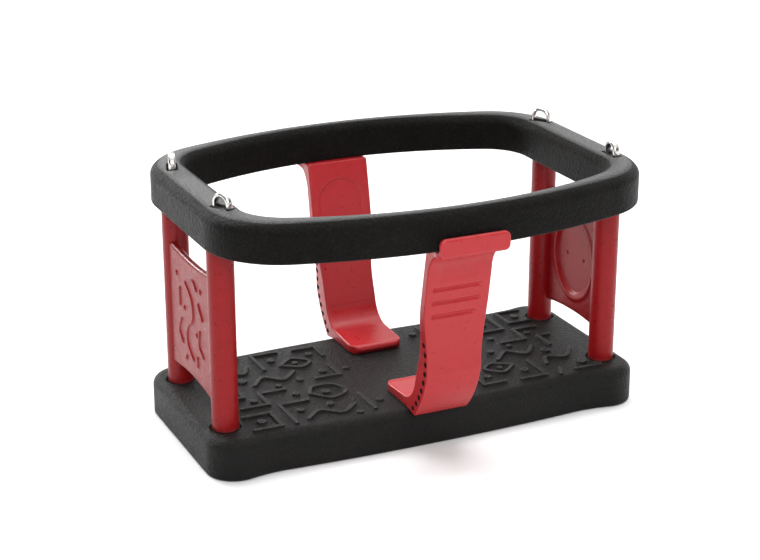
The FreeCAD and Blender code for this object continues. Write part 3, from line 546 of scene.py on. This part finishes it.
def eyelet_axes(i, j):
    """The eyelet's middle, the way along its hole (outwards) and the way across it."""
    yaw = math.radians(EYELET_YAW[i, j])
    along = np.array([i * math.cos(yaw), j * math.sin(yaw)])
    return np.array([i * EYELET_X, j * EYELET_Y]), along, np.array([-along[1], along[0]])


def ring_dimples(points):
    """A shallow pocket in the ring's top round each eyelet."""
    pocket = np.zeros(len(points))
    for _, i, j in CORNERS:
        middle, along, across = eyelet_axes(i, j)
        a, b = (points - middle) @ along, (points - middle) @ across
        pocket = np.maximum(pocket, (1 - ease(3.8, 5.2, np.abs(a))) * (1 - ease(10.2, 11.8, np.abs(b))))
    return -2.4 * pocket


# ---------------------------------------------------------------- end panels

def build_panel(side, sign):
    mesh = Builder()
    post_top = [(0.3, POST_HEAD - 0.25), (1.0, POST_HEAD)]
    steps = [(0.6, POST_FOOT)] + [(0, z) for z in np.linspace(POST_FOOT + 0.6, 210.2, 60)] + post_top
    for j in (-1, 1):
        rows = []
        for inset, z in steps:
            ring = circle(0, j * POST_Y, POST_RADIUS - inset, 72)
            rows.append(mesh.row(np.column_stack([ring * (sign, 1), np.full(len(ring), z)])))
        mesh.bands(rows if sign > 0 else [row[::-1] for row in rows])
    outer = web_rows(lambda p: 9.0 + web_strokes(p))
    inner = web_rows(web_inside)
    half_turn = np.linspace(0, math.pi, 14)[1:-1]
    loop = list(outer)
    loop += [round_over(outer[-1], inner[-1], angle, 1) for angle in half_turn]
    loop += list(inner[::-1])
    loop += [round_over(inner[0], outer[0], angle, -1) for angle in half_turn]
    rows = [mesh.row(row * (sign, 1, 1)) for row in loop]
    rows.append(rows[0])
    mesh.bands(rows if sign < 0 else [row[::-1] for row in rows], closed=False)
    points = np.array(mesh.points) + (sign * POST_X, 0, 0)
    add_mesh(side + "_panel", points, mesh.faces, RED_PANEL, 50, side + "_side_panel")


def web_rows(depth):
    """Rows of one face of the web, whose foot and head are arched; depth gives its way out."""
    ys = np.linspace(-POST_Y, POST_Y, 140)
    foot = 64.0 - 6.0 * (ys / POST_Y) ** 2
    head = 177.5 + 4.5 * (ys / POST_Y) ** 2
    rows = []
    for t in np.linspace(0, 1, 130):
        z = foot + WEB_ROUND + (head - foot - 2 * WEB_ROUND) * t
        rows.append(np.column_stack([depth(np.column_stack([ys, z])), ys, z]))
    return np.array(rows)


def round_over(start, end, angle, way):
    """A row on the half round that joins the web's two faces at its head or its foot."""
    middle, reach = (start + end) / 2, (start - end) / 2
    row = middle + reach * math.cos(angle)
    row[:, 2] = start[:, 2] + way * WEB_ROUND * math.sin(angle)
    return row


def web_inside(points):
    """The inner face: a raised bead round an oval hollow with two small pits."""
    y, z = points[:, 0], points[:, 1]
    oval = (np.hypot(y / 33.0, (z - 122.0) / 39.0) - 1) * 34
    face = 1.6 + 3.0 * (1 - ease(-2.2, 1.2, oval)) - 0.9 * np.exp(-((oval - 3.6) / 2.4) ** 2)
    for pit in (-15.5, 15.5):
        face = face + 1.2 * (1 - ease(1.0, 2.2, np.hypot(y - pit, z - 121.5)))
    return face


def web_strokes(points):
    """Raised strokes on the outer face."""
    tall = [
        (curve([(-6, 84), (8, 96), (6, 112), (-8, 124), (-6, 142), (10, 154)]), 1.5),
        (curve([(-34, 96), (-24, 104), (-26, 118)]), 1.4),
        (curve([(22, 92), (30, 102), (24, 114)]), 1.4),
        ([(-34, 132), (-24, 144)], 1.4),
        ([(26, 128), (26, 144)], 1.4),
        (curve([(-20, 156), (-12, 162), (-2, 160)]), 1.4),
        ([(-18, 82), (-18, 90)], 1.4),
        ([(-30.01, 158), (-30, 158)], 2.4),
        ([(34.01, 156), (34, 156)], 2.4),
        ([(15.01, 128), (15, 128)], 2.2),
        ([(-17.01, 112), (-17, 112)], 2.2),
        ([(13.01, 80), (13, 80)], 2.2),
    ]
    return 1.3 * ribs(points, tall, 0.7)


# ---------------------------------------------------------------- leg straps

def through(a, b, c, step=1.0):
    """Points along the arc through a, b and c, without the last."""
    (x1, y1), (x2, y2), (x3, y3) = a, b, c
    d = 2 * (x1 * (y2 - y3) + x2 * (y3 - y1) + x3 * (y1 - y2))
    s1, s2, s3 = x1 ** 2 + y1 ** 2, x2 ** 2 + y2 ** 2, x3 ** 2 + y3 ** 2
    ux = (s1 * (y2 - y3) + s2 * (y3 - y1) + s3 * (y1 - y2)) / d
    uy = (s1 * (x3 - x2) + s2 * (x1 - x3) + s3 * (x2 - x1)) / d
    radius = math.hypot(x1 - ux, y1 - uy)
    a0, a1, a2 = (math.atan2(y - uy, x - ux) for x, y in (a, b, c))
    sweep = (a2 - a0) % (2 * math.pi)
    if (a1 - a0) % (2 * math.pi) > sweep:
        sweep -= 2 * math.pi
    angles = a0 + np.linspace(0, sweep, max(3, round(abs(sweep) * radius / step)), endpoint=False)
    return np.column_stack([ux + radius * np.cos(angles), uy + radius * np.sin(angles)])


def direct(a, b):
    """Points 1 mm apart from a to b, without the last."""
    t = np.linspace(0, 1, max(2, round(math.dist(a, b))), endpoint=False)[:, None]
    return np.array(a) * (1 - t) + np.array(b) * t


def strap_loop():
    """The strap's side view (way out from the middle, height), counterclockwise from the inner top."""
    parts = [
        through((132.5, 210.7), (123.2, 166), (115, 120)),
        direct((115, 120), (105.2, 69)),
        through((105.2, 69), (99, 55), (86, 48.2)),
        direct((86, 48.2), (48.5, 46.4)),
        through((48.5, 46.4), (43.2, 45.4), (41.8, 43.4)),
        through((41.8, 43.4), (41.9, 41.6), (43.6, 40.6)),
        direct((43.6, 40.6), (45.5, 38.05)),
        direct((45.5, 38.05), (91.0, 38.05)),
        direct((91.0, 38.05), (104.6, 35.8)),
        through((104.6, 35.8), (106.6, 35.9), (108.4, 37.4)),
        through((108.4, 37.4), (122.9, 58.5), (129.9, 83)),
        through((129.9, 83), (127.8, 112), (129.5, 143)),
        direct((129.5, 143), (136.2, 180)),
        through((136.2, 180), (142.5, 196.5), (153.0, 204.2)),
        direct((153.0, 204.2), (160.8, 204.8)),
        through((160.8, 204.8), (163.6, 205.9), (164.7, 208.5)),
        direct((164.7, 208.5), (164.8, 221)),
        through((164.8, 221), (162.3, 223.5), (159.85, 221)),
        direct((159.85, 221), (159.85, 210.7)),
        direct((159.85, 210.7), (132.5, 210.7)),
    ]
    return np.vstack(parts)


def round_off(part):
    """How far a round of radius 1 has drawn in, at part (0 to 1) of the way to its end."""
    return 1 - np.sqrt(1 - part ** 2)


def strap_half_width(out, z):
    """Half the strap's width: wider above, a lip under the ring, and rounded corners at both ends."""
    body = 27.6 + 4.4 * ease(92, 150, z)
    lip = 2.4 * ease(146, 156, out) * ease(196, 203, z)
    toe = np.clip((54.0 - out) / 12.5, 0, 0.98)
    hook = np.clip((z - 217.0) / 7, 0, 0.97)
    lip_foot = np.clip((211.0 - z) / 7, 0, 0.97) * (out > 157)
    return body + lip - 10.0 * round_off(toe) - 7.0 * round_off(np.maximum(hook, lip_foot))


def strap_lean(z):
    """How far the front strap's foot sits to the left of its head, as in the photograph."""
    return -2.8 * (1 - ease(42, 112, z))


def strap_carving(z, x, face):
    """How deep each point of the strap's skin is pressed in."""
    groove = np.zeros(len(z))
    for level, low, high in ((166.0, -26, 23), (152.5, -26, 23), (139.0, -25, 19)):
        d = distance(np.column_stack([x, z]), [(low + 2, level), (high - 2, level)])
        groove = np.maximum(groove, 2.0 * (1 - ease(0.6, 2.6, d)))
    pit = 0.8 * (1 - ease(0.5, 1.4, np.hypot(x + 8, z - 160)))
    scoop = 1.1 * ease(172, 180, z) * (1 - ease(190, 200, z)) * (1 - ease(16, 25, np.abs(x)))
    arch_top, arch_half = 194, 24
    arch = arch_top - arch_half + np.sqrt(np.clip(arch_half ** 2 - x ** 2, 0, None))
    hollow = (1 - ease(22.5, 24.5, np.abs(x))) * (1 - ease(-1.5, 0.5, z - arch)) * ease(70, 110, z)
    pressed = np.maximum(groove, np.maximum(pit, scoop))
    return np.where(face > 0, pressed, np.where(face < 0, hollow, 0))


def strap_faces(loop, ways):
    """1 on the outer face, -1 on the inner face and 0 elsewhere, where nothing is pressed in."""
    sideways, z = ways[:, 0], loop[:, 1]
    outer = (sideways > 0.6) & (z > 100) & (z < 203)
    inner = (sideways < -0.6) & (z > 66) & (z < 205)
    return np.where(outer, 1, np.where(inner, -1, 0))


def strap_hole_places():
    """The holes' centres, evenly spaced along an arc near the outer face, from the top down."""
    arc = through((121.8, 110.5), (121.4, 70), (104.2, 42.4), 0.2)
    run = np.hypot(*np.diff(arc, axis=0).T).cumsum()
    last = STRAP_HOLE_COUNT - 1
    return [arc[np.searchsorted(run, run[-1] * k / last)] for k in range(last)] + [arc[-1]]


def strap_bores(places):
    """The bores' walls through the strap, slightly flared at both sides."""
    bores = Builder()
    for place in places:
        ends = []
        for radius, back in ((STRAP_HOLE_RADIUS, 0.0), (2.4, 0.15), (2.25, 0.6)):
            ring = circle(*place, radius, 24)
            ends.append((ring, strap_half_width(*ring.T) - back))
        rings = [bores.row(np.column_stack([-x, -ring[:, 0], ring[:, 1]])) for ring, x in ends]
        rings += [bores.row(np.column_stack([x, -ring[:, 0], ring[:, 1]])) for ring, x in reversed(ends)]
        bores.bands([ring[::-1] for ring in rings])
    return bores


def build_strap(end, sign):
    loop = strap_loop()
    ahead = np.roll(loop, -1, 0) - np.roll(loop, 1, 0)
    ways = np.stack([ahead[:, 1], -ahead[:, 0]], 1)
    ways /= np.hypot(*ways.T)[:, None]
    face = strap_faces(loop, ways)
    fillet = edge_round(STRAP_EDGE, 7)[1:]
    layers = [(-1, out, inset) for out, inset in reversed(fillet)]
    layers += [(s, 0, 0) for s in np.linspace(-1, 1, 56)]
    layers += [(1, out, inset) for out, inset in fillet]
    mesh = Builder()
    rows = []
    for s, out, inset in layers:
        skin = loop - ways * inset
        x = s * (strap_half_width(*skin.T) - STRAP_EDGE) + math.copysign(out, s)
        if not inset:
            skin = skin - ways * strap_carving(loop[:, 1], x, face)[:, None]
        rows.append(mesh.row(np.column_stack([x, -skin[:, 0], skin[:, 1]])))
    mesh.bands([row[::-1] for row in rows])
    places = strap_hole_places()
    holes = [circle(*place, STRAP_HOLE_RADIUS, 24) for place in places]
    flat, faces = filled([loop - ways * STRAP_EDGE] + holes, 3.0)
    for s in (-1, 1):
        x = s * strap_half_width(*flat.T)
        turned = faces if s < 0 else [f[::-1] for f in faces]
        mesh.patch(np.column_stack([x, -flat[:, 0], flat[:, 1]]), turned)
    bores = strap_bores(places)
    skin_faces = len(mesh.faces)
    mesh.patch(bores.points, bores.faces)
    points = np.array(mesh.points)
    points[:, 0] += strap_lean(points[:, 2])
    points *= (1, 1, 1) if sign < 0 else (-1, -1, 1)
    strap = add_mesh(end + "_strap", points, mesh.faces, RED_STRAP, 50, end + "_leg_strap")
    # the walls of the holes take the painted shade material
    strap.data.materials.append(BORE_SHADE)
    for face in strap.data.polygons[skin_faces:]:
        face.material_index = 1


# ---------------------------------------------------------------- chain eyelets

def band_section():
    """The band's section (way out from the eye's centre, way along the hole), counterclockwise."""
    low, high, side = 7.0, 10.3, 3.3
    corners = [(low, -side, 0.7), (high, -side, 2.4), (high, side, 2.4), (low, side, 0.7)]
    out = []
    for k, (x, y, r) in enumerate(corners):
        here = np.array([x, y])
        before = np.array(corners[k - 1][:2]) - here
        after = np.array(corners[(k + 1) % len(corners)][:2]) - here
        a, b = before / np.hypot(*before), after / np.hypot(*after)
        for angle in np.linspace(0, math.pi / 2, 9):
            out.append(here + r * (a * (1 - math.sin(angle)) + b * (1 - math.cos(angle))))
    return np.array(out)


def build_eyelets():
    section = band_section()
    root, springing = 232.0, 250.0
    path = [(0.0, z) for z in np.linspace(root, springing, 10)[:-1]]
    path += [(angle, springing) for angle in np.linspace(0, math.pi, 41)]
    path += [(math.pi, z) for z in np.linspace(springing, root, 10)[1:]]
    for corner, i, j in CORNERS:
        middle, along, across = eyelet_axes(i, j)
        mesh = Builder()
        rows = []
        for angle, z in path:
            b = section[:, 0] * math.cos(angle)
            up = z + section[:, 0] * math.sin(angle)
            flat = middle + np.outer(b, across) + np.outer(section[:, 1], along)
            rows.append(mesh.row(np.column_stack([flat, up])))
        mesh.bands([row[::-1] for row in rows])
        mesh.faces += [tuple(rows[0]), tuple(rows[-1][::-1])]
        add_mesh("eyelet_" + corner, mesh.points, mesh.faces, STEEL, 40, "chain_eyelet_" + corner)


# ---------------------------------------------------------------- steel and fasteners

def node_material(name):
    if name.endswith("_rubber"):
        return RUBBER
    if name.endswith("_panel"):
        return RED_PANEL
    if name.endswith("_leg_strap"):
        return RED_STRAP
    return ZINC


def finish_hardware():
    """Gives every CAD node its material. Of these, only the steel inside and below is still seen."""
    for name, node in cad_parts.items():
        node.data.materials.clear()
        node.data.materials.append(node_material(name))


# ---------------------------------------------------------------- studio, in metres

def build_floor():
    half = 14.0
    corners = [(-half, -half, 0), (half, -half, 0), (half, half, 0), (-half, half, 0)]
    mesh = bpy.data.meshes.new("floor")
    mesh.from_pydata(corners, [], [(0, 1, 2, 3)])
    made, tree, shader = material("floor", Roughness=0.8, Specular_IOR_Level=0.2)
    link(tree, grey_ramp(tree, noise(tree, 3, 2, 0.5), (0.3, 0.86), (0.7, 0.88)), shader.inputs["Base Color"])
    mesh.materials.append(made)
    floor = bpy.data.objects.new("floor", mesh)
    bpy.context.scene.collection.objects.link(floor)


def build_world():
    """Pale behind, on the right, overhead and at the horizon; dim in front and on the left."""
    world = bpy.data.worlds.new("studio")
    world.use_nodes = True
    sky = world.node_tree
    way = sky.nodes.new("ShaderNodeTexCoord")
    parts = sky.nodes.new("ShaderNodeSeparateXYZ")
    link(sky, way.outputs["Generated"], parts.inputs["Vector"])
    back = spread(sky, parts.outputs["Y"], 0, 1, -1, 1)
    right = spread(sky, parts.outputs["X"], 0, 1, -1, 1)
    behind = grey_ramp(sky, back, (0.1, 0.12), (0.4, 0.22), (0.62, 1))
    beside = grey_ramp(sky, right, (0.15, 0.07), (0.35, 0.2), (0.55, 1))
    above = grey_ramp(sky, parts.outputs["Z"], (0.1, 0.85), (0.2, 0), (0.45, 0), (0.8, 1))
    shade = blend(sky, "ADD", 1.0, blend(sky, "MULTIPLY", 1.0, behind, beside), above)
    link(sky, shade, sky.nodes["Background"].inputs["Color"])
    sky.nodes["Background"].inputs["Strength"].default_value = 0.95
    bpy.context.scene.world = world


def softbox(name, place, target, size_x, size_y, power):
    data = bpy.data.lights.new(name, "AREA")
    data.shape = "RECTANGLE"
    data.size, data.size_y, data.energy = size_x, size_y, power
    lamp = bpy.data.objects.new(name, data)
    lamp.location = place
    lamp.rotation_euler = (Vector(target) - Vector(place)).to_track_quat("-Z", "Y").to_euler()
    bpy.context.scene.collection.objects.link(lamp)


def build_camera():
    """The photograph's camera, fitted to it; pixel sizes are those of its 760 by 560 frame."""
    frame_width, frame_height, sensor = 760, 560, 36
    focal, away = 1797.86, 1.71897
    azimuth, elevation, roll = (math.radians(angle) for angle in (24.952, 20.135, 0.007))
    aim, aim_u, aim_v = Vector((0, 0, 0.12)), 394.176, 287.911
    level = math.cos(elevation)
    ahead = Vector((math.sin(azimuth) * level, math.cos(azimuth) * level, -math.sin(elevation)))
    right = Vector((math.cos(azimuth), -math.sin(azimuth), 0))
    up = right.cross(ahead)
    right, up = (math.cos(roll) * right + math.sin(roll) * up, math.cos(roll) * up - math.sin(roll) * right)
    shift_x, shift_y = (aim_u - frame_width / 2) * away / focal, (aim_v - frame_height / 2) * away / focal
    place = aim - ahead * away - right * shift_x + up * shift_y
    data = bpy.data.cameras.new("camera")
    data.lens, data.sensor_width = focal / frame_width * sensor, sensor
    data.clip_start, data.clip_end = 0.05, 50
    camera = bpy.data.objects.new("camera", data)
    camera.matrix_world = Matrix((
        (right.x, up.x, -ahead.x, place.x), (right.y, up.y, -ahead.y, place.y),
        (right.z, up.z, -ahead.z, place.z), (0, 0, 0, 1)))
    bpy.context.scene.collection.objects.link(camera)
    bpy.context.scene.camera = camera
    bpy.context.scene.view_settings.view_transform = "Standard"


build_base()
build_ring()
for side_name, side_sign in (("left", -1), ("right", 1)):
    build_panel(side_name, side_sign)
for end_name, end_sign in (("front", -1), ("back", 1)):
    build_strap(end_name, end_sign)
build_eyelets()
finish_hardware()
build_floor()
build_world()
softbox("top", (0.1, 0.4, 2.2), (0, 0, 0.1), 1.8, 1.4, 34)
softbox("left_back", (-0.75, 1.9, 0.95), (-0.1, 0, 0.2), 0.8, 0.4, 26)
softbox("front", (-0.5, -2.1, 1.4), (0, 0, 0.12), 1.4, 1.2, 30)
build_camera()
